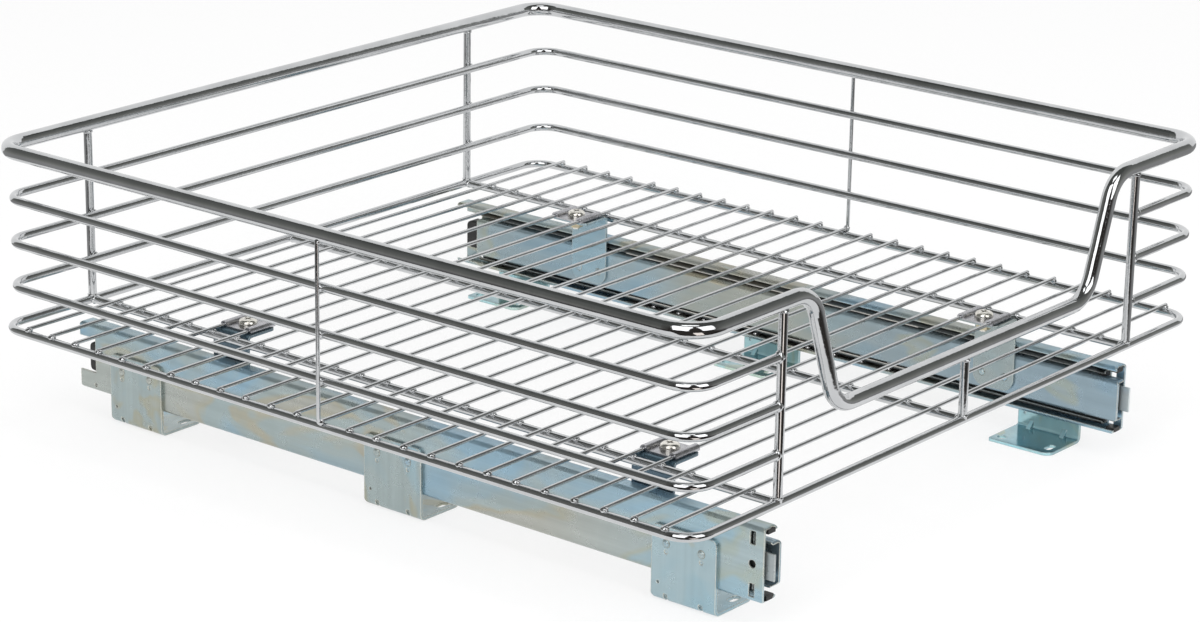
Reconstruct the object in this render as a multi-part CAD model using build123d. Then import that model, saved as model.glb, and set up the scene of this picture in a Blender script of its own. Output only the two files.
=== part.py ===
from build123d import *
import os

# Pull-out wire organizer for a cabinet floor: a chrome wire basket that is clamped to the inner
# members of two three-part ball bearing slides, each slide riveted to three floor feet.
# Millimetres. +X is right, -Y is the side that is pulled, +Z is up.
# The origin is on the cabinet floor, under the middle of the basket.

# Basket
basket_width = 517.5         # between the rim's side centre lines
basket_depth = 547.6         # between the rim's front and back centre lines
frame_level = 75.0           # centre of the bottom frame wire above the floor
lower_hoop_height = 28.7     # hoop centres above the bottom frame
middle_hoop_height = 57.2
upper_hoop_height = 85.4
rim_height = 116.3
rim_d = 9.5
rod_d = 5.4                  # bottom frame, hoops, stringers and uprights
wire_d = 2.5                 # cross wires
rim_corner_r = 20.0
hoop_corner_r = 16.0
stringer_gap = 2.5           # outer stringers to the basket brackets
handle_drop = 74.3           # how far the front of the rim dips
handle_inset_top = 103.0     # basket side centre line to the dip's corner at the rim
handle_inset_bottom = 128.0  # basket side centre line to the end of the grip bar
handle_bend_r = 21.0

# Cross wires
cross_front_margin = 18.0
cross_back_margin = 24.9
cross_pitch_goal = 21.0
cross_left_overhang = 0.5
cross_right_overhang = 2.0
loop_bend_r = 3.0
front_clip_count = 3         # cross wires ahead of the front clips
rear_clip_count = 4          # cross wires behind the rear clips

# Slides
slide_inset = 69.5           # basket side centre line to the slide's outer face
slide_height = 45.0
slide_level = 38.5           # middle of the slide above the floor
slide_length = 550.0
slide_setback = 2.5          # front end behind the basket's front centre line
slide_travel = 540.0
channel_t = 1.2
channel_reach = 11.8         # how far the outer member's flanges reach
middle_reach = 10.3          # how far the intermediate member's flanges reach
channel_bend_r = 2.4
lip_height = 1.6             # outer member's turned edges, inside its flanges
middle_lip_height = 1.2
channel_corner_r = 2.5       # corners of the webs, seen from the side
middle_tab_height = 16.0
middle_tab_reach = 5.5       # stop tab ahead of the slide's front end
middle_setback = 9.0         # intermediate member's flanges behind the slide's front end
cage_t = 0.6
cage_gap = 0.4               # clearance on each side of a ball cage's web
cage_reach = 10.2
race_gap = 3.2
ball_d = 3.6
ball_reach = 7.5             # ball centres from the slide's outer face
ball_clearance = 0.15
ball_pitch = 22.0
inner_t = 1.5
inner_face = 12.7            # slide's outer face to the inner member's inner face
inner_ahead = 2.5            # inner member's front end ahead of the outer member's
inner_corner_r = 3.0
tail_notch_depth = 14.0
tail_notch_height = 23.0
tail_notch_rise = 1.5
tail_hole_d = 2.6
tail_hole_rise = 4.2         # hole above the outer member's bottom edge
bumper_length = 11.0
bumper_height = 20.0
bumper_lap = 5.0             # how far the bumper reaches ahead of the tail notch
bumper_end_r = 4.0
stop_length = 6.0
stop_clearance = 0.3
front_hole_setback = 7.9
front_slot_width = 3.8
front_slot_height = 8.0
front_slot_offset = 15.6
front_hole_d = 4.8

# Feet
foot_t = 2.0
foot_width = 46.0
foot_height = 46.0
foot_reach = 37.0
foot_pitch = 221.5
foot_shift = 0.8             # middle foot behind the middle of the slide
foot_corner_r = 6.0          # flange's front corner
foot_heel_r = 2.0            # flange's back corner
foot_plate_r = 4.0           # plate's corners
foot_bend_r = 2.0
foot_slot_reach = 26.0       # mounting slot from the foot's outer face
foot_hole_reach = 30.0       # mounting hole from the foot's outer face
foot_hole_edge = 6.3         # slot and hole from the front and back edges
foot_slot_length = 10.0
foot_slot_width = 5.0
foot_hole_d = 6.0
gusset_leg = 4.6
gusset_width = 3.0
gusset_dent = 5.0            # leg of the dent behind each gusset
gusset_dent_width = 2.6
rivet_pitch = 25.0
rivet_drop = 10.5            # rivets below the top of the foot
dimple_drop = 15.5
dimple_d = 2.6
dimple_depth = 0.4
gauge_hole_d = 1.8
gauge_hole_rise = 11.0
gauge_hole_edge = 5.0

# Rivets
rivet_d = 3.0
rivet_head_d = 5.4
rivet_head_h = 0.9
rivet_clearance = 0.05

# Brackets and clips between slides and basket
bracket_t = 1.5
bracket_width = 30.5
bracket_reach = 25.0
bracket_drop = 11.0          # bottom edge below the middle of the slide
bracket_corner_r = 8.0
bracket_bend_r = 1.5
bracket_rivet_pitch = 17.0
bracket_rivet_drop = 2.0
screw_reach = 14.0           # screw centre from the bracket's inner face
screw_d = 4.8
screw_head_d = 12.2
screw_head_h = 3.8
screw_crown_r = 2.8
screw_hole_clearance = 0.3
screw_tail = 1.5             # screw end below the nut
recess_width = 1.1
recess_length = 5.2
recess_depth = 1.6
nut_across_flats = 8.0
nut_h = 5.0
thread_clearance = 0.05
clip_length = 22.0
clip_t = 1.2
clip_clearance = 0.15
clip_hem_drop = 1.0          # how far the outer hem reaches below the wire's centre

# Cutting tools run this far past the faces that they cut
past = 1.0
shallow_past = 0.3           # where another wall stands close behind

# Values worked out from the sizes above
rim_r = rim_d / 2
rod_r = rod_d / 2
wire_r = wire_d / 2
half_width = basket_width / 2
half_depth = basket_depth / 2
rim_level = frame_level + rim_height
grip_level = rim_level - handle_drop
wire_seat = frame_level + rod_r
wire_level = wire_seat + wire_r

cross_span = basket_depth - cross_front_margin - cross_back_margin
cross_count = round(cross_span / cross_pitch_goal) + 1
cross_pitch = cross_span / (cross_count - 1)
cross_y = [-half_depth + cross_front_margin + cross_pitch * k for k in range(cross_count)]
loop_wire = (cross_count - 1) // 2
rear_clip_wire = cross_count - 2 - rear_clip_count
clip_y = [(cross_y[k] + cross_y[k + 1]) / 2 for k in (front_clip_count, rear_clip_wire)]

slide_face = -half_width + slide_inset
slide_front = -half_depth + slide_setback
slide_back = slide_front + slide_length
outer_inside = slide_height / 2 - channel_t
middle_half = outer_inside - race_gap
middle_inside = middle_half - channel_t
inner_half = middle_inside - race_gap
outer_cage_web = channel_t + cage_gap
middle_web = outer_cage_web + cage_t + cage_gap
inner_cage_web = middle_web + channel_t + cage_gap
inner_tip = inner_cage_web + cage_t + cage_gap
bumper_front = slide_back - tail_notch_depth - bumper_lap
member_back = bumper_front - stop_clearance
middle_front = slide_front + middle_setback
cage_front = middle_front + stop_length + slide_travel / 4 + 2 * stop_clearance
cage_back = member_back - slide_travel / 4 - 2 * stop_clearance

foot_face = slide_face - foot_t
foot_middle = (slide_front + slide_back) / 2 + foot_shift
foot_y = [foot_middle + foot_pitch * k for k in (-1, 0, 1)]
bracket_face = slide_face + inner_face
screw_x = bracket_face + bracket_t + screw_reach
stringer_offset = -bracket_face + stringer_gap + rod_r
handle_half_top = half_width - handle_inset_top
handle_half_bottom = half_width - handle_inset_bottom


def bar(x0, x1, y0, y1, z0, z1):
    """A block between two corners."""
    block = Box(x1 - x0, y1 - y0, z1 - z0)
    return Pos((x0 + x1) / 2, (y0 + y1) / 2, (z0 + z1) / 2) * block


def rod_x(x0, x1, y, z, radius):
    return Pos((x0 + x1) / 2, y, z) * Rot(0, 90, 0) * Cylinder(radius, x1 - x0)


def rod_y(x, y0, y1, z, radius):
    return Pos(x, (y0 + y1) / 2, z) * Rot(90, 0, 0) * Cylinder(radius, y1 - y0)


def rod_z(x, y, z0, z1, radius):
    return Pos(x, y, (z0 + z1) / 2) * Cylinder(radius, z1 - z0)


def bent_rod(points, radii, radius, close=False):
    """A round rod along straight runs that are joined by arcs."""
    path = FilletPolyline(*points, radius=radii, close=close)
    start = path.edges()[0]
    section = Plane(origin=start @ 0, z_dir=start % 0) * Circle(radius)
    return sweep(section, path=path)


def prism_x(outline, x0, x1):
    """Extrude a closed outline of (y, z) points with corner radii between two X positions."""
    points, radii = outline
    corners = [(x0, y, z) for y, z in points]
    face = make_face(FilletPolyline(*corners, radius=radii, close=True))
    return extrude(face, amount=x1 - x0, dir=(1, 0, 0))


def prism_z(outline, z0, z1):
    """Extrude a closed outline of (x, y) points with corner radii between two heights."""
    points, radii = outline
    corners = [(x, y, z0) for x, y in points]
    face = make_face(FilletPolyline(*corners, radius=radii, close=True))
    return extrude(face, amount=z1 - z0, dir=(0, 0, 1))


def angle_bend(block, thickness, bend_r, up=False):
    """Turn a block into a bent angle: a plate on its -X side and a flange at its top or bottom."""
    box = block.bounding_box()
    x0, x1 = box.min.X + thickness, box.max.X + past
    y0, y1 = box.min.Y - past, box.max.Y + past
    if up:
        hollow = bar(x0, x1, y0, y1, box.min.Z + thickness, box.max.Z + past)
    else:
        hollow = bar(x0, x1, y0, y1, box.min.Z - past, box.max.Z - thickness)
    corner = 0 if up else -1
    inside = hollow.edges().filter_by(Axis.Y).group_by(Axis.X)[0].sort_by(Axis.Z)[corner]
    outside = block.edges().filter_by(Axis.Y).group_by(Axis.X)[0].sort_by(Axis.Z)[corner]
    return fillet(outside, bend_r + thickness) - fillet(inside, bend_r)


def mirrored(shape):
    """The same piece on the other side of the basket."""
    return mirror(shape, about=Plane.YZ)


def save(name, shape):
    shape.label = name
    export_step(shape, "parts/" + name + ".step")


# The basket

def rim():
    left = [
        (-half_width, half_depth, rim_level),
        (-half_width, -half_depth, rim_level),
        (-handle_half_top, -half_depth, rim_level),
        (-handle_half_bottom, -half_depth, grip_level),
    ]
    right = [(-x, y, z) for x, y, z in reversed(left)]
    radii = [rim_corner_r, rim_corner_r, handle_bend_r, handle_bend_r]
    return bent_rod(left + right, radii + radii[::-1], rim_r, close=True)


def bottom_frame():
    corners = [
        (-half_width, half_depth, frame_level),
        (-half_width, -half_depth, frame_level),
        (half_width, -half_depth, frame_level),
        (half_width, half_depth, frame_level),
    ]
    return bent_rod(corners, hoop_corner_r, rod_r, close=True)


def hoop(height):
    """A U of wire from one front upright round the back to the other."""
    z = frame_level + height
    back = half_depth - rod_d
    corners = [
        (-stringer_offset, -half_depth, z),
        (-half_width, -half_depth, z),
        (-half_width, back, z),
        (half_width, back, z),
        (half_width, -half_depth, z),
        (stringer_offset, -half_depth, z),
    ]
    wire = bent_rod(corners, hoop_corner_r, rod_r)
    for x in (-stringer_offset, stringer_offset):
        wire -= rod_z(x, -half_depth, z - rod_d, z + rod_d, rod_r)
    return wire


def stringer(x):
    """A lengthwise wire, shaped at both ends to the bottom frame and the post that stands there."""
    wire = rod_y(x, -half_depth, half_depth, frame_level, rod_r)
    for y in (-half_depth, half_depth):
        wire -= rod_x(x - rod_d, x + rod_d, y, frame_level, rod_r)
        wire -= rod_z(x, y, frame_level, frame_level + rod_d, rod_r)
    return wire


def upright(x, y, top, top_r):
    """A post, shaped at its ends to the bottom frame and to the bar that it carries."""
    post = rod_z(x, y, frame_level, top, rod_r)
    post -= rod_x(x - rod_d, x + rod_d, y, frame_level, rod_r)
    post -= rod_x(x - rod_d, x + rod_d, y, top, top_r)
    return post


def cross_wires():
    x0 = -half_width - cross_left_overhang
    x1 = half_width + cross_right_overhang
    return [rod_x(x0, x1, y, wire_level, wire_r) for k, y in enumerate(cross_y) if k != loop_wire]


def side_loop():
    """The middle cross wire, turned up outside the hoops to the rim on both sides."""
    x = half_width + rod_r + wire_r
    y = cross_y[loop_wire]
    top = rim_level - rim_r / 2
    corners = [(-x, y, top), (-x, y, wire_level), (x, y, wire_level), (x, y, top)]
    wire = bent_rod(corners, loop_bend_r, wire_r)
    for side in (-half_width, half_width):
        wire -= rod_y(side, y - rim_d, y + rim_d, rim_level, rim_r)
    return wire


# Brackets, clips and screws between the basket and the slides

def rivet(x, y, z, grip):
    """A rivet with its head towards -X at x, and its shank ending flush after the grip."""
    dome = Pos(x, y, z) * Rot(0, -90, 0) * Cone(
        rivet_head_d / 2, rivet_head_d / 4, rivet_head_h, align=(Align.CENTER, Align.CENTER, Align.MIN)
    )
    return dome + rod_x(x, x + grip, y, z, rivet_d / 2)


def bracket_rivet_y(y):
    return [y - bracket_rivet_pitch / 2, y + bracket_rivet_pitch / 2]


def bracket(y):
    """An angle on the inner member, with its flange under the cross wires."""
    x0, x1 = bracket_face, bracket_face + bracket_t
    y0, y1 = y - bracket_width / 2, y + bracket_width / 2
    z0 = slide_level - bracket_drop
    plate_outline = (
        [(y0, z0), (y1, z0), (y1, wire_seat), (y0, wire_seat)],
        [bracket_corner_r, bracket_corner_r, 0, 0],
    )
    flange_end = bracket_face + bracket_reach
    flange_outline = (
        [(x0, y0), (flange_end, y0), (flange_end, y1), (x0, y1)],
        [0, bracket_corner_r / 2, bracket_corner_r / 2, 0],
    )
    plate = prism_x(plate_outline, x0, x1)
    flange = prism_z(flange_outline, wire_seat - bracket_t - bracket_bend_r, wire_seat)
    angle = angle_bend(bar(x0, flange_end, y0, y1, z0, wire_seat), bracket_t, bracket_bend_r)
    angle &= plate + flange
    angle -= rod_z(screw_x, y, wire_seat - bracket_t - past, wire_seat + past,
                   screw_d / 2 + screw_hole_clearance)
    for hole_y in bracket_rivet_y(y):
        angle -= rod_x(x0 - past, x1 + past, hole_y, slide_level - bracket_rivet_drop,
                       rivet_d / 2 + rivet_clearance)
    return angle


def bracket_rivets():
    """Rivets that join the brackets to the inner member, with their heads on the bracket."""
    rivets = []
    for y in clip_y:
        for hole_y in bracket_rivet_y(y):
            head = rivet(0, 0, 0, bracket_t + inner_t)
            head = Rot(0, 0, 180) * head
            place = Pos(bracket_face + bracket_t, hole_y, slide_level - bracket_rivet_drop)
            rivets.append(place * head)
    return rivets


def clip(y):
    """A plate over two cross wires, with an edge curled over each of them."""
    x0, x1 = screw_x - clip_length / 2, screw_x + clip_length / 2
    curl_in = wire_r + clip_clearance
    curl_out = curl_in + clip_t
    low = wire_seat + clip_t
    reach = cross_pitch / 2
    plate = bar(x0, x1, y - reach + curl_in, y + reach - curl_in, wire_seat, low)
    for side in (-1, 1):
        wire_y = y + side * reach
        curl = rod_x(x0, x1, wire_y, wire_level, curl_out)
        curl &= bar(x0, x1, wire_y - curl_out, wire_y + curl_out, wire_level, wire_level + curl_out)
        inner_leg = sorted((wire_y - side * curl_out, wire_y - side * curl_in))
        outer_leg = sorted((wire_y + side * curl_out, wire_y + side * curl_in))
        curl += bar(x0, x1, *inner_leg, wire_seat, wire_level)
        curl += bar(x0, x1, *outer_leg, wire_level - clip_hem_drop, wire_level)
        plate += curl - rod_x(x0 - past, x1 + past, wire_y, wire_level, curl_in)
    return plate - rod_z(screw_x, y, wire_seat - past, low + past, screw_d / 2 + screw_hole_clearance)


def clip_screw(y):
    """A pan head screw with a cross recess."""
    seat = wire_seat + clip_t
    head = rod_z(screw_x, y, seat, seat + screw_head_h, screw_head_d / 2)
    head = fillet(head.edges().filter_by(GeomType.CIRCLE).sort_by(Axis.Z)[-1], screw_crown_r)
    top = seat + screw_head_h
    for length, width in ((recess_length, recess_width), (recess_width, recess_length)):
        head -= bar(screw_x - length / 2, screw_x + length / 2, y - width / 2, y + width / 2,
                    top - recess_depth, top + past)
    end = wire_seat - bracket_t - nut_h - screw_tail
    return head + rod_z(screw_x, y, end, seat, screw_d / 2)


def clip_nut(y):
    top = wire_seat - bracket_t
    hexagon = RegularPolygon(nut_across_flats / 2, 6, major_radius=False)
    nut = Pos(screw_x, y, top - nut_h) * extrude(hexagon, amount=nut_h)
    return nut - rod_z(screw_x, y, top - nut_h - past, top + past, screw_d / 2 + thread_clearance)


# The slides

def channel(u0, u1, half, lip, y0, y1):
    """A C section along Y, open towards the basket. u counts from the slide's outer face."""
    x0, x1 = slide_face + u0, slide_face + u1
    inside = half - channel_t
    mouth = inside - lip
    body = bar(x0, x1, y0, y1, slide_level - half, slide_level + half)
    hollow = bar(x0 + channel_t, x1 - channel_t, y0, y1, slide_level - inside, slide_level + inside)
    body = fillet(body.edges().filter_by(Axis.Y), channel_bend_r)
    body -= fillet(hollow.edges().filter_by(Axis.Y), channel_bend_r - channel_t)
    return body - bar(x1 - channel_t - past, x1 + past, y0, y1, slide_level - mouth, slide_level + mouth)


def rounded_ends(member, half, radius):
    """Round the four corners of a member, seen from the side."""
    box = member.bounding_box()
    y0, y1 = box.min.Y, box.max.Y
    corners = [(y0, slide_level - half), (y1, slide_level - half),
               (y1, slide_level + half), (y0, slide_level + half)]
    return member & prism_x((corners, radius), box.min.X, box.max.X)


def ball_grooves(race_half, y0, y1):
    """The track that a row of balls needs in the members above and below it."""
    x = slide_face + ball_reach
    radius = ball_d / 2 + ball_clearance
    return [rod_y(x, y0, y1, slide_level + side * race_half, radius) for side in (-1, 1)]


outer_race = outer_inside - race_gap / 2
inner_race = middle_inside - race_gap / 2


def outer_member():
    member = channel(0, channel_reach, slide_height / 2, lip_height, slide_front, slide_back)
    member = rounded_ends(member, slide_height / 2, channel_corner_r)
    for groove in ball_grooves(outer_race, slide_front, slide_back):
        member -= groove
    x0, x1 = slide_face - past, slide_face + channel_t + shallow_past
    notch = slide_level + tail_notch_rise
    member -= bar(x0, slide_face + channel_reach + past, slide_back - tail_notch_depth, slide_back + past,
                  notch - tail_notch_height / 2, notch + tail_notch_height / 2)
    tail_z = slide_level - slide_height / 2 + tail_hole_rise
    member -= rod_x(x0, x1, slide_back - tail_notch_depth, tail_z, tail_hole_d / 2)
    y = slide_front + front_hole_setback
    member -= rod_x(x0, x1, y, slide_level, front_hole_d / 2)
    for side in (-1, 1):
        z = slide_level + side * front_slot_offset
        member -= bar(x0, x1, y - front_slot_width / 2, y + front_slot_width / 2,
                      z - front_slot_height / 2, z + front_slot_height / 2)
    for middle in foot_y:
        for hole_y in foot_rivet_y(middle):
            member -= rod_x(x0, x1, hole_y, foot_height - rivet_drop, rivet_d / 2 + rivet_clearance)
    return member


def intermediate_member():
    member = channel(middle_web, middle_reach, middle_half, middle_lip_height, middle_front, member_back)
    for race in (outer_race, inner_race):
        for groove in ball_grooves(race, middle_front, member_back):
            member -= groove
    x0 = slide_face + middle_web
    tab = bar(x0, x0 + channel_t, slide_front - middle_tab_reach, middle_front + past,
              slide_level - middle_tab_height / 2, slide_level + middle_tab_height / 2)
    return member + tab


def inner_member():
    front = slide_front - inner_ahead
    x0, x1 = slide_face + inner_tip, slide_face + inner_face
    inside = inner_half - inner_t
    member = bar(x0, x1, front, member_back, slide_level - inner_half, slide_level + inner_half)
    hollow = bar(x0 - past, x1 - inner_t, front, member_back, slide_level - inside, slide_level + inside)
    member = fillet(member.edges().filter_by(Axis.Y).group_by(Axis.X)[-1], channel_bend_r)
    member -= fillet(hollow.edges().filter_by(Axis.Y).group_by(Axis.X)[-1], channel_bend_r - inner_t)
    member = rounded_ends(member, inner_half, inner_corner_r)
    for groove in ball_grooves(inner_race, front, member_back):
        member -= groove
    for y in clip_y:
        for hole_y in bracket_rivet_y(y):
            member -= rod_x(bracket_face - inner_t - shallow_past, bracket_face + past, hole_y,
                            slide_level - bracket_rivet_drop, rivet_d / 2 + rivet_clearance)
    return member


def ball_y():
    """Ball places along a cage, evenly spaced about its middle."""
    count = int((cage_back - cage_front - ball_d) / ball_pitch)
    middle = (cage_front + cage_back) / 2
    return [middle + ball_pitch * (k - (count - 1) / 2) for k in range(count)]


def cage(web, race):
    """A folded strip that spaces the upper and lower balls of one race."""
    x0, x1 = slide_face + web, slide_face + cage_reach
    strip = race + cage_t / 2
    shell = bar(x0, x1, cage_front, cage_back, slide_level - strip, slide_level + strip)
    shell -= bar(x0 + cage_t, x1 + past, cage_front - past, cage_back + past,
                 slide_level - strip + cage_t, slide_level + strip - cage_t)
    for y in ball_y():
        shell -= rod_z(slide_face + ball_reach, y, slide_level - strip - past,
                       slide_level + strip + past, ball_d / 2 + ball_clearance)
    return shell


def balls(race):
    x = slide_face + ball_reach
    return [Pos(x, y, slide_level + side * race) * Sphere(ball_d / 2)
            for side in (-1, 1) for y in ball_y()]


def rear_bumper():
    """A soft block on the outer member's web that stops the other members when closed."""
    x0, x1 = slide_face + channel_t, slide_face + cage_reach
    y0, y1 = bumper_front, bumper_front + bumper_length
    z0, z1 = slide_level - bumper_height / 2, slide_level + bumper_height / 2
    block = bar(x0, x1, y0, y1, z0, z1)
    block = chamfer(block.edges().filter_by(Axis.Y), channel_t)
    outline = [(y0, z0), (y1, z0), (y1, z1), (y0, z1)], [0, bumper_end_r, bumper_end_r, 0]
    return block & prism_x(outline, x0, x1)


def race_stops(web, inside, reach, front):
    """Plastic blocks at the front of a race, which keep its cage in at full travel."""
    x0 = slide_face + web + cage_t + cage_gap
    x1 = slide_face + reach - channel_t - cage_gap
    near = inside - race_gap + stop_clearance
    upper = bar(x0, x1, front, front + stop_length, slide_level + near, slide_level + inside)
    edge = upper.edges().filter_by(Axis.Y).group_by(Axis.Z)[-1].sort_by(Axis.X)[-1]
    upper = chamfer(edge, channel_bend_r - channel_t)
    return [upper, mirror(upper, about=Plane.XY.offset(slide_level))]


# The feet

def foot_rivet_y(middle):
    return [middle - rivet_pitch / 2, middle + rivet_pitch / 2]


def wedge(x, z, leg, middle, width):
    """A triangular prism in the corner of a bend, with its square corner at (x, z)."""
    face = make_face(Polyline((x, middle - width / 2, z), (x + leg, middle - width / 2, z),
                              (x, middle - width / 2, z + leg), close=True))
    return extrude(face, amount=width, dir=(0, 1, 0))


def foot(middle):
    """An angle with its plate on the slide's outer face and its flange on the floor."""
    x0, x1 = foot_face, slide_face
    y0, y1 = middle - foot_width / 2, middle + foot_width / 2
    plate_outline = (
        [(y0, 0), (y1, 0), (y1, foot_height), (y0, foot_height)],
        [0, foot_plate_r, foot_plate_r, foot_plate_r],
    )
    flange_end = foot_face + foot_reach
    flange_outline = (
        [(x0, y0), (flange_end, y0), (flange_end, y1), (x0, y1)],
        [0, foot_corner_r, foot_heel_r, foot_plate_r],
    )
    angle = angle_bend(bar(x0, flange_end, y0, y1, 0, foot_height), foot_t, foot_bend_r, up=True)
    angle &= prism_x(plate_outline, x0, x1) + prism_z(flange_outline, 0, foot_t + foot_bend_r)
    for y in foot_rivet_y(middle):
        angle += wedge(slide_face, foot_t, gusset_leg, y, gusset_width)
        angle -= wedge(foot_face, 0, gusset_dent, y, gusset_dent_width)
        angle -= rod_x(x0 - past, x1 + past, y, foot_height - rivet_drop, rivet_d / 2 + rivet_clearance)
        angle -= rod_x(x0 - past, x0 + dimple_depth, y, foot_height - dimple_drop, dimple_d / 2)
    angle -= rod_x(x0 - past, x1 + past, y1 - gauge_hole_edge, gauge_hole_rise, gauge_hole_d / 2)
    slot_x, hole_x = foot_face + foot_slot_reach, foot_face + foot_hole_reach
    slot = SlotOverall(foot_slot_length, foot_slot_width)
    angle -= Pos(slot_x, y0 + foot_hole_edge, -past) * extrude(slot, amount=foot_t + 2 * past)
    angle -= rod_z(hole_x, y1 - foot_hole_edge, -past, foot_t + past, foot_hole_d / 2)
    return angle


def foot_rivets():
    z = foot_height - rivet_drop
    return [rivet(foot_face, y, z, foot_t + channel_t) for middle in foot_y for y in foot_rivet_y(middle)]


def group(pieces):
    return Compound(children=pieces)


def both_sides(name, shape):
    """Save a left piece and its mirror image."""
    save("left_" + name, shape)
    save("right_" + name, mirrored(shape))


def on_both_sides(pieces):
    """One group with the left pieces and their mirror images."""
    return group(pieces + [mirrored(piece) for piece in pieces])


os.makedirs("parts", exist_ok=True)

save("rim_rod", rim())
save("bottom_frame", bottom_frame())
save("lower_hoop", hoop(lower_hoop_height))
save("middle_hoop", hoop(middle_hoop_height))
save("upper_hoop", hoop(upper_hoop_height))
save("left_stringer", stringer(-stringer_offset))
save("centre_stringer", stringer(0))
save("right_stringer", stringer(stringer_offset))
save("front_uprights", on_both_sides([upright(-stringer_offset, -half_depth, rim_level, rim_r)]))
save("back_uprights", on_both_sides([upright(-stringer_offset, half_depth, rim_level, rim_r)]))
save("handle_post", upright(0, -half_depth, grip_level, rim_r))
save("cross_wires", group(cross_wires()))
save("side_loop_wire", side_loop())

for place, y in zip(("front", "rear"), clip_y):
    both_sides(place + "_basket_bracket", bracket(y))
save("bracket_rivets", on_both_sides(bracket_rivets()))
save("wire_clips", on_both_sides([clip(y) for y in clip_y]))
save("clip_screws", on_both_sides([clip_screw(y) for y in clip_y]))
save("clip_nuts", on_both_sides([clip_nut(y) for y in clip_y]))

both_sides("outer_member", outer_member())
both_sides("intermediate_member", intermediate_member())
both_sides("inner_member", inner_member())
both_sides("outer_ball_cage", cage(outer_cage_web, outer_race))
both_sides("inner_ball_cage", cage(inner_cage_web, inner_race))
both_sides("outer_balls", group(balls(outer_race)))
both_sides("inner_balls", group(balls(inner_race)))
both_sides("rear_bumper", rear_bumper())
both_sides("outer_race_stops", group(race_stops(middle_web, outer_inside, channel_reach, slide_front)))
both_sides("inner_race_stops", group(race_stops(inner_cage_web, middle_inside, middle_reach, middle_front)))

for place, y in zip(("front", "middle", "rear"), foot_y):
    both_sides(place + "_foot", foot(y))
save("foot_rivets", on_both_sides(foot_rivets()))
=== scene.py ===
import math
from functools import cached_property

import bmesh
import bpy
from mathutils import Matrix, Vector, noise


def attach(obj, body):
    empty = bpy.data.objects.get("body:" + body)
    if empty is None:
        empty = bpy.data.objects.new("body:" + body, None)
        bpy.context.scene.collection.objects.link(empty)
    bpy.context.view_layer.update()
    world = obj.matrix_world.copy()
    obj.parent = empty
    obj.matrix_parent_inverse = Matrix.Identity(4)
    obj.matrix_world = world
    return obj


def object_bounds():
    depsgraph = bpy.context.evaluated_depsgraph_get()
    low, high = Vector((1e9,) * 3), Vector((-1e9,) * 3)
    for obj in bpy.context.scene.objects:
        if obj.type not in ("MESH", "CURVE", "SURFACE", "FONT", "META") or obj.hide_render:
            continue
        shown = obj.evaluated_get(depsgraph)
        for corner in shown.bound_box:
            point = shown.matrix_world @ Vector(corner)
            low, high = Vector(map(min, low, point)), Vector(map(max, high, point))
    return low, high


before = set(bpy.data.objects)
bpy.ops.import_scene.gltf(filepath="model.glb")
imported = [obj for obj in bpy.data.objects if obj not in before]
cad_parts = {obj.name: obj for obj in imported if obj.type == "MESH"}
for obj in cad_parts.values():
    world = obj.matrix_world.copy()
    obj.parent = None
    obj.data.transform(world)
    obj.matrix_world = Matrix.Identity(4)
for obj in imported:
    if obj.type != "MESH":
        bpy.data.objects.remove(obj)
cad_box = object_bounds()

# Camera, fitted to the photograph. Angles are in degrees, and azimuth 0 is the side that is pulled
CAMERA_AT = (-1.66065, -1.34610, 0.77980)
CAMERA_AZIMUTH = -50.37
CAMERA_ELEVATION = 18.18
CAMERA_ROLL = 0.72
FOCAL_PX = 3552.0
CENTRE_PX = (566.0, 317.0)
IMAGE_PX = (1200.0, 622.0)
SENSOR_MM = 36.0

# Places and radii of the wires, as in the part's source, in metres
HALF_WIDTH = 0.25875             # middle of the basket to the rim's side centre lines
HALF_DEPTH = 0.2738              # and to its front and back centre lines
FRAME_LEVEL = 0.0750
RIM_LEVEL = 0.1913
GRIP_LEVEL = 0.1170
HOOP_LEVELS = (0.1037, 0.1322, 0.1604)
STRINGER_X = 0.18175
RIM_R = 0.00475
ROD_R = 0.0027
WIRE_R = 0.00125
WIRE_SEAT = FRAME_LEVEL + ROD_R  # underside of the cross wires
CROSS_COUNT = 25
CROSS_FIRST = -0.2558
CROSS_SPAN = 0.5047
CROSS_PITCH = CROSS_SPAN / (CROSS_COUNT - 1)
CROSS_Y = [CROSS_FIRST + CROSS_PITCH * k for k in range(CROSS_COUNT)]
LOOP_WIRE = 12                   # number of the cross wire that is turned up at both sides
LOOP_X = HALF_WIDTH + ROD_R + WIRE_R
STRINGERS = (-STRINGER_X, 0.0, STRINGER_X)

# Nearer the middle than TRACK_X, an intermediate slide member is only its flanges, where the balls run;
# there its colour is darkened, a painted shade
SLIDE_INSET = 0.0695             # rim's side centre line to the slide's outer face
WEB_BACK = 0.0043                # from that face to just past the intermediate member's web
TRACK_X = HALF_WIDTH - SLIDE_INSET - WEB_BACK
TRACK_BLEND = 0.0002             # half the width in which the tint changes there

# The floor's colour, the share of its own light to the camera and gloss, and its gap under the object
FLOOR_WHITE = 0.97
FLOOR_GLOW = 0.72
FLOOR_GAP = 0.0002

# The world's level on the object. To the camera and gloss it is 1
WORLD_LEVEL = 0.72


def add_object(data):
    """A new object in the scene, with the name of its data."""
    thing = bpy.data.objects.new(data.name, data)
    bpy.context.scene.collection.objects.link(thing)
    return thing


def mesh_of(name, points, faces):
    data = bpy.data.meshes.new(name)
    data.from_pydata(points, [], faces)
    return data


def outward(azimuth, elevation):
    """The unit vector from the object to what stands at these angles."""
    a, e = math.radians(azimuth), math.radians(elevation)
    return Vector((math.sin(a) * math.cos(e), -math.cos(a) * math.cos(e), math.sin(e)))


def looking_in(away):
    """The turn of a camera or lamp that stands out along a vector and looks back along it."""
    return (-away).to_track_quat("-Z", "Y").to_matrix()


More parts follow.
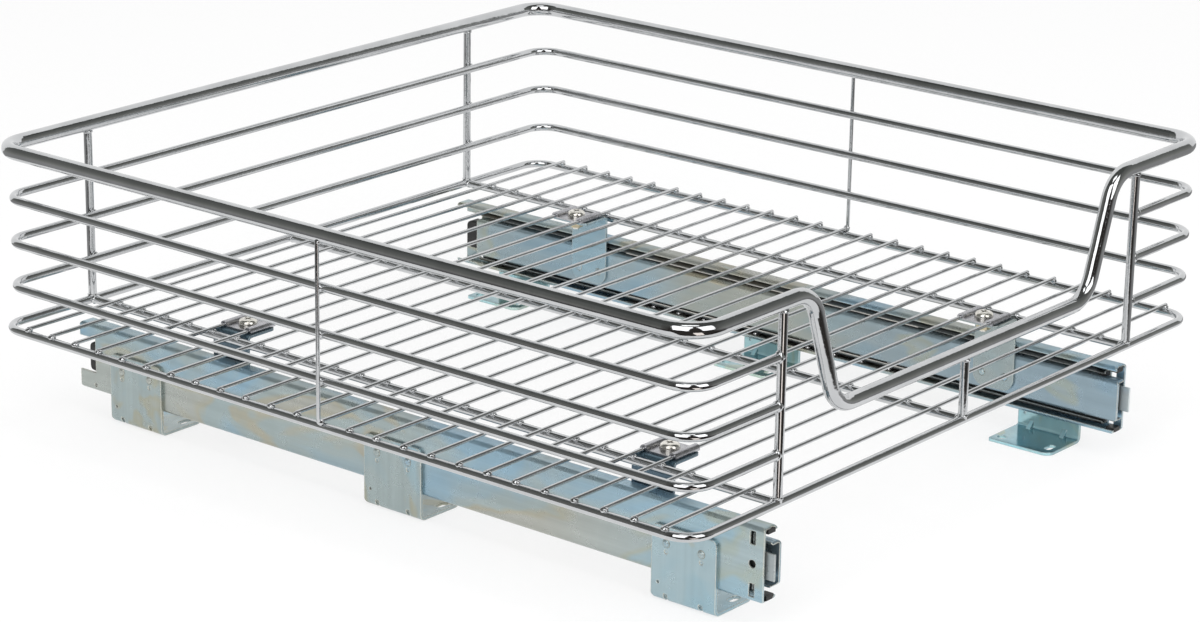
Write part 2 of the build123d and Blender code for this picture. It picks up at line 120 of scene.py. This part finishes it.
def make_camera():
    data = bpy.data.cameras.new("camera")
    data.sensor_width = SENSOR_MM
    data.lens = FOCAL_PX / IMAGE_PX[0] * SENSOR_MM
    data.shift_x = (IMAGE_PX[0] / 2 - CENTRE_PX[0]) / IMAGE_PX[0]
    data.shift_y = (CENTRE_PX[1] - IMAGE_PX[1] / 2) / IMAGE_PX[0]
    camera = add_object(data)
    roll = Matrix.Rotation(math.radians(CAMERA_ROLL), 3, "Z")
    turn = looking_in(outward(CAMERA_AZIMUTH, CAMERA_ELEVATION)) @ roll
    camera.matrix_world = Matrix.Translation(CAMERA_AT) @ turn.to_4x4()
    bpy.context.scene.camera = camera


# Shader helpers

class Nodes:
    """A node tree, with short ways to add and join its nodes."""

    def __init__(self, tree):
        self.tree = tree

    def feed(self, value, socket):
        """Join another node's output to a socket, or set the socket to a plain value."""
        if isinstance(value, bpy.types.NodeSocket):
            self.tree.links.new(value, socket)
        elif socket.type == "RGBA":
            socket.default_value = (*value, 1.0)
        else:
            socket.default_value = value

    def made(self, kind, output, sockets, **settings):
        """Add a node, set it up, feed its sockets by name or number, and return one of its outputs."""
        node = self.tree.nodes.new("ShaderNode" + kind)
        for name, value in settings.items():
            setattr(node, name, value)
        for key, value in sockets.items():
            self.feed(value, node.inputs[key])
        return node.outputs[output]

    def calculated(self, operation, first, second=0.0):
        return self.made("Math", 0, {0: first, 1: second}, operation=operation)

    def dot(self, first, second):
        return self.made("VectorMath", "Value", {0: first, 1: second}, operation="DOT_PRODUCT")

    def part(self, vector, axis):
        return self.made("SeparateXYZ", axis, {0: vector})

    def share(self, value, low, high, start=0.0):
        """A value's way from low to high, as a number from start to 1."""
        limits = {"From Min": low, "From Max": high, "To Min": start}
        return self.made("MapRange", "Result", {"Value": value, **limits})

    def seen_directly(self):
        """1 for rays from the camera, and for those that gloss and glass send on."""
        path = self.tree.nodes.new("ShaderNodeLightPath").outputs
        sent_on = self.calculated("MAXIMUM", path["Is Glossy Ray"], path["Is Transmission Ray"])
        return self.calculated("MAXIMUM", path["Is Camera Ray"], sent_on)


class Shader(Nodes):
    """One material, with textures that go by the place on the object."""

    def __init__(self, name, metallic=0.0):
        self.material = bpy.data.materials.new(name)
        self.material.use_nodes = True
        super().__init__(self.material.node_tree)
        self.surface = self.tree.nodes["Principled BSDF"]
        self.surface.inputs["Metallic"].default_value = metallic

    @cached_property
    def place(self):
        return self.made("TexCoord", "Object", {})

    def normal(self):
        return self.made("NewGeometry", "Normal", {})

    def noise(self, scale, detail, roughness=0.5, stretch=None, distortion=0.0):
        place = self.place
        if stretch:
            place = self.made("Mapping", "Vector", {"Vector": place, "Scale": stretch})
        return self.made("TexNoise", "Fac", {"Vector": place, "Scale": scale, "Detail": detail,
                                             "Roughness": roughness, "Distortion": distortion})

    def ramp(self, value, *stops):
        """Colours or greys that a value passes through. A stop is the value there and its colour."""
        node = self.tree.nodes.new("ShaderNodeValToRGB")
        ramp = node.color_ramp
        while len(ramp.elements) < len(stops):
            ramp.elements.new(0.5)
        for element, (position, colour) in zip(ramp.elements, stops):
            element.position = position
            element.color = (*(colour if isinstance(colour, tuple) else (colour,) * 3), 1.0)
        self.feed(value, node.inputs["Fac"])
        return node.outputs["Color"]

    def mix(self, amount, first, second, kind="MIX"):
        """Two colours mixed. The numbers are a Mix node's sockets for colours."""
        return self.made("Mix", 2, {0: amount, 6: first, 7: second}, data_type="RGBA", blend_type=kind)

    def times(self, first, second, amount=1.0):
        return self.mix(amount, first, second, "MULTIPLY")

    def bump(self, height, distance, strength, after=None):
        sockets = {"Height": height, "Distance": distance, "Strength": strength}
        if after:
            sockets["Normal"] = after
        return self.made("Bump", "Normal", sockets)

    def edges(self, width):
        """A normal that is rounded at sharp edges, and a mask that is 1 there."""
        rounded = self.made("Bevel", "Normal", {"Radius": width}, samples=4)
        return rounded, self.ramp(self.dot(rounded, self.normal()), (0.85, 1.0), (0.99, 0.0))

    def finish(self, colour, roughness, normal):
        self.feed(colour, self.surface.inputs["Base Color"])
        self.feed(roughness, self.surface.inputs["Roughness"])
        self.feed(normal, self.surface.inputs["Normal"])
        return self.material

    def show(self, output):
        """Put a node's output in the place of the plain surface."""
        self.feed(output, self.tree.nodes["Material Output"].inputs["Surface"])


# Materials. A noise is given by its scale, detail and roughness, and a bump by its distance and strength

def chrome():
    """Bright chrome plate on drawn wire, with a faint waviness and a few duller spots."""
    s = Shader("chrome", metallic=1.0)
    colour = s.ramp(s.noise(40.0, 4.0), (0.3, (0.50, 0.51, 0.52)), (0.7, (0.60, 0.61, 0.62)))
    roughness = s.ramp(s.noise(260.0, 5.0), (0.3, 0.04), (0.75, 0.12))
    wave = s.bump(s.noise(120.0, 2.0), 0.0004, 0.25)
    grain = s.bump(s.noise(900.0, 3.0), 0.0001, 0.20, after=wave)
    return s.finish(colour, roughness, grain)


def pressed_steel(name, low, high, rough, scale):
    """Small bright steel pieces, with handling marks."""
    s = Shader(name, metallic=1.0)
    colour = s.ramp(s.noise(scale, 4.0, 0.6), (0.32, low), (0.68, high))
    roughness = s.ramp(s.noise(scale * 3.0, 4.0), (0.3, rough[0]), (0.7, rough[1]))
    marks = s.bump(s.noise(scale * 4.0, 4.0), 0.0002, 0.3)
    return s.finish(colour, roughness, marks)


def plastic():
    """Black moulded plastic with a fine matt grain."""
    s = Shader("black_plastic")
    colour = s.ramp(s.noise(300.0, 3.0), (0.3, 0.006), (0.7, 0.014))
    roughness = s.ramp(s.noise(180.0, 3.0), (0.3, 0.35), (0.7, 0.55))
    grain = s.bump(s.noise(1500.0, 2.0), 0.0001, 0.4)
    return s.finish(colour, roughness, grain)


# Stretch of the rolling streaks: along the slides, or up the feet
ALONG_SLIDE = (3.0, 0.06, 3.0)
UP_FOOT = (3.0, 3.0, 0.08)

# Clouds in the zinc: places in their noise, and how a beige cloud's rim, the tide mark, differs from it
CLOUD_EASE = 7.0                 # how many times less the clouds are stretched than the streaks
BLUE_UNTIL = 0.34
PALE_FROM = 0.46
TIDE_MARK_AT = 0.04              # past the place where the pale colour ends
BEIGE_AT = 0.09                  # past that place too
TIDE_MARK_GREEN = 0.95
TIDE_MARK_BLUE = 0.84

# Width in which sharp edges are lightened to the rim colour: partly the bare steel of cut edges, partly a
# painted highlight
EDGE_LIGHT_WIDTH = 0.0010
SPECK_AMOUNT = 0.12


def zinc(name, pale, blue, beige, beige_from, streak, grain=ALONG_SLIDE, along=None, tracks=None,
         turned=None, metallic=0.75, rim=(0.84, 0.82, 0.72), rough=(0.22, 0.38)):
    """Passivated zinc plate on rolled steel: pale blue with beige clouds and rolling streaks. Its edges are
    lighter, partly bare cut steel and partly painted highlight, and some tints paint light and shade.
    """
    s = Shader(name, metallic)
    broad = [min(1.0, g * CLOUD_EASE) for g in grain]
    clouds = s.noise(22.0, 3.0, stretch=broad, distortion=0.6)
    tide_mark = (beige[0], beige[1] * TIDE_MARK_GREEN, beige[2] * TIDE_MARK_BLUE)
    tint = s.ramp(clouds, (BLUE_UNTIL, blue), (PALE_FROM, pale), (beige_from, pale),
                  (beige_from + TIDE_MARK_AT, tide_mark), (beige_from + BEIGE_AT, beige))
    streaks = s.noise(60.0, 4.0, 0.6, stretch=grain)
    tint = s.times(tint, s.ramp(streaks, (0.3, 1.0 - streak), (0.7, 1.0)))

    # Tints from the basket's front, 0, to its back, 1; on the intermediate members they paint light and
    # shade at the front
    if along:
        tint = s.times(tint, s.ramp(s.share(s.part(s.place, "Y"), -HALF_DEPTH, HALF_DEPTH), *along))

    # Painted shade: an intermediate member's flanges, where the balls run between the other members, keep
    # only this share of their colour
    if tracks:
        out = s.calculated("ABSOLUTE", s.part(s.place, "X"))
        tint = s.times(tint, s.share(out, TRACK_X - TRACK_BLEND, TRACK_X + TRACK_BLEND, tracks))

    # Painted light and shade: another tint and metallic value on the faces that are turned one way, as the
    # light falls on them
    if turned:
        way, painted_side_tint, way_metallic = turned
        facing = s.dot(s.normal(), way)
        tint = s.mix(s.ramp(facing, (0.3, 0.0), (0.6, 1.0)), tint, s.times(tint, painted_side_tint))
        s.feed(s.ramp(facing, (0.3, metallic), (0.6, way_metallic)), s.surface.inputs["Metallic"])

    specks = s.ramp(s.noise(420.0, 3.0, 0.6), (0.28, 0.86), (0.40, 1.0))
    tint = s.times(tint, specks, SPECK_AMOUNT)
    # Lighter edges: partly the bare steel of cut edges, partly a painted highlight
    rounded, edge = s.edges(EDGE_LIGHT_WIDTH)
    tint = s.mix(edge, tint, rim)
    roughness = s.ramp(s.noise(70.0, 5.0, 0.6), (0.3, rough[0]), (0.7, rough[1]))
    dents = s.bump(s.noise(45.0, 2.0), 0.0012, 0.12, after=rounded)
    fine = [min(1.0, g) for g in grain]
    rolling = s.bump(s.noise(240.0, 3.0, stretch=fine), 0.0002, 0.15, after=dents)
    return s.finish(tint, roughness, rolling)


def race(painted_front_light):
    """An intermediate member: its front end, whose colour is scaled by a factor as painted light, a strip
    of painted shade behind that, a plain web, and painted shade on the flanges where the balls run.
    """
    return {
        "pale": (0.40, 0.44, 0.45), "blue": (0.34, 0.42, 0.46), "beige": (0.46, 0.44, 0.38),
        "beige_from": 0.56, "streak": 0.14, "metallic": 0.5, "rim": (0.60, 0.64, 0.62), "tracks": 0.16,
        # Painted shade from about 4 to 16 mm behind the front end, where the member lies dark between the
        # others
        "along": ((0.0, painted_front_light), (0.004, painted_front_light), (0.008, 0.10), (0.030, 0.10), (0.034, 1.0)),
    }


UP = (0.0, 0.0, 1.0)
LEFT = (-1.0, 0.0, 0.0)

ZINC = {
    "zinc_plate": {
        "pale": (0.39, 0.46, 0.46), "blue": (0.31, 0.46, 0.56), "beige": (0.45, 0.46, 0.42),
        "beige_from": 0.50, "streak": 0.16,
        "along": ((0.08, (0.93, 1.12, 1.28)), (0.30, 1.0), (0.70, 1.0), (0.95, (0.96, 1.02, 1.06))),
    },
    "zinc_foot": {
        "pale": (0.39, 0.46, 0.46), "blue": (0.34, 0.48, 0.54), "beige": (0.42, 0.45, 0.41),
        "beige_from": 0.52, "streak": 0.16, "grain": UP_FOOT,
    },
    "zinc_front": {
        "pale": (0.40, 0.52, 0.56), "blue": (0.34, 0.50, 0.57), "beige": (0.46, 0.50, 0.47),
        "beige_from": 0.58, "streak": 0.10, "grain": UP_FOOT,
    },
    "zinc_blue": {
        "pale": (0.27, 0.32, 0.34), "blue": (0.23, 0.31, 0.36), "beige": (0.32, 0.35, 0.34),
        "beige_from": 0.57, "streak": 0.14,
        "along": ((0.15, (1.15, 1.28, 1.38)), (0.33, (1.15, 1.20, 1.22)), (0.45, (1.45, 1.30, 1.12)),
                  (0.62, (1.45, 1.30, 1.12)), (0.68, (1.28, 1.38, 1.42)), (0.90, (1.15, 1.24, 1.28))),
    },
    # The right member's front end is painted lighter, as if lit; the left one's is a little darker
    "zinc_race_left": race(painted_front_light=0.9),
    "zinc_race_right": race(painted_front_light=1.9),
    "zinc_bracket": {
        "pale": (0.36, 0.42, 0.42), "blue": (0.32, 0.42, 0.45), "beige": (0.44, 0.44, 0.38),
        "beige_from": 0.54, "streak": 0.12, "rim": (0.62, 0.66, 0.62),
        "along": ((0.55, 1.0), (0.65, (0.92, 1.06, 1.18))),
        # Painted shadow: the faces turned up, under the clips, are darkened to about a third
        "turned": (UP, (0.30, 0.36, 0.38), 0.75),
    },
    # Painted shade: a dark copy of the bracket zinc for the left brackets, which lie in shade; their faces
    # turned up a little darker still
    "zinc_shade": {
        "pale": (0.12, 0.17, 0.21), "blue": (0.10, 0.16, 0.21), "beige": (0.17, 0.19, 0.19),
        "beige_from": 0.56, "streak": 0.12, "rim": (0.36, 0.42, 0.44),
        "turned": (UP, (0.80, 0.90, 0.90), 0.75),
    },
    # Painted shade and light: a teal copy of the foot zinc for the right feet, whose insides lie in shade;
    # faces turned to the left, the plates' inner faces, are painted lighter and made less metallic
    "zinc_teal_shade": {
        "pale": (0.34, 0.50, 0.54), "blue": (0.30, 0.50, 0.57), "beige": (0.40, 0.50, 0.48),
        "beige_from": 0.54, "streak": 0.14, "grain": UP_FOOT, "rim": (0.56, 0.66, 0.66),
        "metallic": 0.9, "rough": (0.10, 0.18), "turned": (LEFT, (1.35, 1.42, 1.38), 0.50),
    },
}

# Darker and lighter colour, lowest and highest roughness, and scale of the marks
STEEL = {
    "cage_steel": ((0.45, 0.44, 0.42), (0.62, 0.60, 0.56), (0.22, 0.40), 80.0),
    "ball_steel": ((0.62, 0.62, 0.63), (0.74, 0.74, 0.75), (0.05, 0.12), 200.0),
    "clip_steel": ((0.36, 0.36, 0.38), (0.54, 0.54, 0.56), (0.18, 0.36), 90.0),
    "screw_steel": ((0.70, 0.68, 0.62), (0.86, 0.84, 0.78), (0.14, 0.30), 160.0),
    "yellow_zinc": ((0.58, 0.50, 0.34), (0.72, 0.66, 0.48), (0.22, 0.40), 120.0),
}


def make_materials():
    made = {"chrome_wire": chrome(), "black_plastic": plastic()}
    for name, values in ZINC.items():
        made[name] = zinc(name, **values)
    for name, values in STEEL.items():
        made[name] = pressed_steel(name, *values)
    return made


def finish_of(node, slot):
    """The material for a CAD node's slot. Most zinc pieces have their own tint; the left brackets and the
    right feet get copies with painted shade.
    """
    if node.endswith("inner_member"):
        return "zinc_blue"
    if node.endswith("intermediate_member"):
        return "zinc_race_left" if node.startswith("left") else "zinc_race_right"
    if node.endswith("basket_bracket"):
        return "zinc_shade" if node.startswith("left") else "zinc_bracket"
    if node.endswith("foot") and node.startswith("right"):
        return "zinc_teal_shade"
    if node.endswith("foot"):
        return "zinc_front" if "front" in node else "zinc_foot"
    return slot


# Welds. A bead is given by its centre and its half sizes, in metres

LUMP_SCALE = 1.7
LUMP_DEPTH = 0.14
LUMP_STEPS = (3.1, 1.7, 0.9)     # from one bead's place in the noise to the next one's

# How far a bead's centre lies from the surface that it sits on
NUDGE = 0.0002
WIDE_NUDGE = 0.0003


def bead(mesh, centre, size, seed):
    """One lump of weld metal, an uneven blob about its centre."""
    made = bmesh.ops.create_icosphere(mesh, subdivisions=3, radius=1.0)
    shift = Vector([seed * step for step in LUMP_STEPS])
    for vertex in made["verts"]:
        swell = 1.0 + LUMP_DEPTH * noise.noise(vertex.co * LUMP_SCALE + shift)
        vertex.co = Vector(centre) + Vector([c * s * swell for c, s in zip(vertex.co, size)])


def weld_piece(name, beads):
    mesh = bmesh.new()
    for number, (centre, size) in enumerate(beads):
        bead(mesh, centre, size, number + 1)
    data = bpy.data.meshes.new(name)
    mesh.to_mesh(data)
    mesh.free()
    for face in data.polygons:
        face.use_smooth = True
    data.materials.append(materials["chrome_wire"])
    piece = add_object(data)
    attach(piece, "basket")


def cross_wire_welds():
    """Where the cross wires lie on the stringers and on the sides of the bottom frame."""
    on_stringer, on_frame = (0.0024, 0.0027, 0.0013), (0.0025, 0.0026, 0.0018)
    beads = []
    for k, y in enumerate(CROSS_Y):
        for x in STRINGERS:
            beads.append(((x, y, WIRE_SEAT - NUDGE), on_stringer))
        if k != LOOP_WIRE:
            for x in (-HALF_WIDTH, HALF_WIDTH):
                beads.append(((x, y, WIRE_SEAT + WIDE_NUDGE), on_frame))
    return beads


def post_welds():
    """Collars at the ends of the uprights and the centre post, and beads where hoops cross uprights."""
    collar, front, back = (0.0033, 0.0033, 0.0015), (0.0025, 0.0031, 0.0037), (0.0034, 0.0022, 0.0034)
    foot_level = FRAME_LEVEL + ROD_R + NUDGE
    beads = []
    for x in (-STRINGER_X, STRINGER_X):
        for y in (-HALF_DEPTH, HALF_DEPTH):
            beads.append(((x, y, RIM_LEVEL - RIM_R - WIDE_NUDGE), collar))
            beads.append(((x, y, foot_level), collar))
        hoop_end = x + math.copysign(ROD_R + NUDGE, x)
        for z in HOOP_LEVELS:
            beads.append(((hoop_end, -HALF_DEPTH, z), front))
            beads.append(((x, HALF_DEPTH - ROD_R, z), back))
    beads.append(((0.0, -HALF_DEPTH, GRIP_LEVEL - RIM_R - WIDE_NUDGE), collar))
    beads.append(((0.0, -HALF_DEPTH, foot_level), collar))
    return beads


def stringer_welds():
    """Where the stringers' ends meet the bottom frame."""
    end = HALF_DEPTH - ROD_R - WIDE_NUDGE
    return [((x, side * end, FRAME_LEVEL), (0.0035, 0.0021, 0.0030)) for x in STRINGERS for side in (-1, 1)]


def loop_welds():
    """Where the turned-up wire passes the bottom frame and the hoops, and ends under the rim."""
    passing, ending = (0.0012, 0.0026, 0.0024), (0.0014, 0.0020, 0.0014)
    above_frame, under_rim = FRAME_LEVEL + 0.0039, RIM_LEVEL - 0.0034
    y = CROSS_Y[LOOP_WIRE]
    beads = []
    for side in (-1, 1):
        for z in (above_frame, *HOOP_LEVELS):
            beads.append(((side * (LOOP_X - WIRE_R), y, z), passing))
        beads.append(((side * (LOOP_X - WIDE_NUDGE), y, under_rim), ending))
    return beads


# Studio. Three self-lit shapes stand in for the room that the chrome reflects

BEHIND = Vector((0.770, 0.638, 0.0))     # level, from the camera past the object
SKYWARD = Vector(UP)

# The dome's angles from the middle of the near side, in degrees, and its distance at some of them
DOME_FIRST = 0.5
DOME_LAST = 112.0
DOME_REACH = ((0.0, 6.0), (60.0, 6.0), (78.0, 3.3), (DOME_LAST, 1.5))
DOME_RINGS = 40
DOME_SPOKES = 72

# The dark floor is a part of a ring. Lengths are from its centre, in metres, and angles are azimuths
EDGE_NEAR = 0.56
EDGE_FAR = 6.0
EDGE_FIRST = -165.0
EDGE_SWEEP = 250.0
EDGE_STEPS = 60
EDGE_BAY = 0.30                  # how much further out the near edge lies in one direction
EDGE_BAY_AT = -74.0
EDGE_BAY_HALF = 22.0             # angle from there in which the edge comes back

# Greys of the self-lit shapes, by how steeply a place lies above the middle: 0 is level and 1 overhead
DARK_ROOM_GREYS = (
    (0.0, (0.31, 0.31, 0.29)), (0.15, (0.26, 0.265, 0.25)), (0.31, (0.20, 0.205, 0.195)),
    (0.50, (0.16, 0.165, 0.155)), (0.70, (0.13, 0.135, 0.13)), (0.82, (0.085, 0.09, 0.085)),
)
DARK_FLOOR_GREY = 0.33
NEAR_GREY = 0.04                 # about the middle of the near side
WARMTH = (1.0, 0.90, 0.84)       # tint of that grey
PATCH_LEVEL = 1.5


def reading(place, stops):
    """A value read off straight runs between stops of place and value."""
    for (low, first), (high, last) in zip(stops, stops[1:]):
        if place <= high:
            break
    return first + (last - first) * (place - low) / (high - low)


def dark_room():
    """A dark dome round the near side, which only gloss reflects. The white side behind stays open."""
    side = BEHIND.cross(SKYWARD)
    points, faces = [], []
    for j in range(DOME_RINGS + 1):
        degrees = DOME_FIRST + (DOME_LAST - DOME_FIRST) * j / DOME_RINGS
        far = reading(degrees, DOME_REACH)
        angle = math.radians(degrees)
        for k in range(DOME_SPOKES):
            turn = 2 * math.pi * k / DOME_SPOKES
            across = side * math.cos(turn) + SKYWARD * math.sin(turn)
            points.append((across * math.sin(angle) - BEHIND * math.cos(angle)) * far)
    for j in range(DOME_RINGS):
        for k in range(DOME_SPOKES):
            a, b = j * DOME_SPOKES + k, j * DOME_SPOKES + (k + 1) % DOME_SPOKES
            faces.append((a, b, b + DOME_SPOKES, a + DOME_SPOKES))
    stage_piece(mesh_of("dark_room", points, faces), DARK_ROOM_GREYS, NEAR_GREY)


def dark_floor():
    """The floor past the white table's near edge, which only gloss reflects."""
    centre = Vector((0.04, 0.06, 0.002))
    points, faces = [], []
    for k in range(EDGE_STEPS + 1):
        degrees = EDGE_FIRST + EDGE_SWEEP * k / EDGE_STEPS
        away = outward(degrees, 0.0)
        bay = EDGE_BAY * max(0.0, 1.0 - abs(degrees - EDGE_BAY_AT) / EDGE_BAY_HALF)
        points += [centre + away * (EDGE_NEAR + bay), centre + away * EDGE_FAR]
    for k in range(EDGE_STEPS):
        faces.append((2 * k, 2 * k + 1, 2 * k + 3, 2 * k + 2))
    greys = ((0.0, DARK_FLOOR_GREY), (1.0, DARK_FLOOR_GREY))
    stage_piece(mesh_of("dark_floor", points, faces), greys, NEAR_GREY)


def light_patch():
    """A small bright place on that floor, which puts the light line on the uprights."""
    post = Vector((-0.182, -0.274, 0.004))
    away = Vector((-0.60, -0.80, 0.0))
    across = Vector((0.80, -0.60, 0.0))
    corners = [post + away * r + across * w
               for r, w in ((0.20, -0.04), (0.20, 0.04), (0.90, 0.17), (0.90, -0.17))]
    greys = ((0.0, PATCH_LEVEL), (1.0, PATCH_LEVEL))
    stage_piece(mesh_of("light_patch", corners, [(0, 1, 2, 3)]), greys, PATCH_LEVEL)


def stage_piece(data, greys, near_grey):
    """A self-lit card, seen only by gloss. Its greys go by height, with one grey about the near side."""
    s = Shader(data.name)
    s.tree.nodes.remove(s.surface)
    away = s.made("VectorMath", 0, {0: s.place}, operation="NORMALIZE")
    middle = s.ramp(s.dot(away, -BEHIND), (0.15, 0.0), (0.65, 1.0))
    near_tint = tuple(near_grey * w for w in WARMTH)
    grey = s.mix(middle, s.ramp(s.part(away, "Z"), *greys), near_tint)
    s.show(s.made("Emission", 0, {"Color": grey}))
    data.materials.append(s.material)
    piece = add_object(data)
    piece.visible_camera = False
    piece.visible_diffuse = False
    piece.visible_transmission = False
    piece.visible_volume_scatter = False
    piece.visible_shadow = False


def softbox(name, azimuth, elevation, distance, width, height, level):
    """A rectangular lamp that faces the object, with the same brightness all over it."""
    data = bpy.data.lights.new(name, "AREA")
    data.shape = "RECTANGLE"
    data.size, data.size_y = width, height
    data.energy = level * math.pi * width * height
    light = add_object(data)
    away = outward(azimuth, elevation)
    light.matrix_world = Matrix.Translation(away * distance) @ looking_in(away).to_4x4()
    light.visible_camera = False


def make_floor():
    """A white floor, partly lit by itself to the camera and to gloss, so the shadow on it is faint."""
    far = 12.0
    corners = [(-far, -far, 0), (far, -far, 0), (far, far, 0), (-far, far, 0)]
    data = mesh_of("floor", corners, [(0, 1, 2, 3)])
    s = Shader("floor")
    s.surface.inputs["Base Color"].default_value = (FLOOR_WHITE, FLOOR_WHITE, FLOOR_WHITE, 1.0)
    s.surface.inputs["Roughness"].default_value = 1.0
    s.surface.inputs["Specular IOR Level"].default_value = 0.0
    glow = s.calculated("MULTIPLY", s.seen_directly(), FLOOR_GLOW)
    white = s.made("Emission", 0, {})
    s.show(s.made("MixShader", 0, {0: glow, 1: s.surface.outputs[0], 2: white}))
    data.materials.append(s.material)
    floor = add_object(data)
    floor.location.z = cad_box[0][2] - FLOOR_GAP


def make_world():
    """White to the camera and to gloss, and a little lower on the object itself."""
    world = bpy.data.worlds.new("world")
    bpy.context.scene.world = world
    world.use_nodes = True
    nodes = Nodes(world.node_tree)
    sky = nodes.tree.nodes["Background"]
    sky.inputs["Color"].default_value = (1.0, 1.0, 1.0, 1.0)
    level = nodes.share(nodes.seen_directly(), 0.0, 1.0, start=WORLD_LEVEL)
    nodes.feed(level, sky.inputs["Strength"])


materials = make_materials()

for name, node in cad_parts.items():
    for place in node.material_slots:
        place.material = materials[finish_of(name, place.material.name)]

weld_piece("cross_wire_welds", cross_wire_welds())
weld_piece("post_welds", post_welds())
weld_piece("stringer_welds", stringer_welds())
weld_piece("loop_welds", loop_welds())

make_camera()
make_floor()
make_world()
dark_room()
dark_floor()
light_patch()
softbox("left_softbox", azimuth=-72.0, elevation=37.0, distance=3.0, width=2.0, height=2.6, level=2.2)
softbox("right_softbox", azimuth=-7.0, elevation=34.0, distance=3.0, width=1.6, height=2.5, level=2.2)
softbox("top_softbox", azimuth=-45.0, elevation=80.0, distance=3.0, width=1.2, height=1.2, level=2.0)
bpy.context.scene.view_settings.view_transform = "Standard"
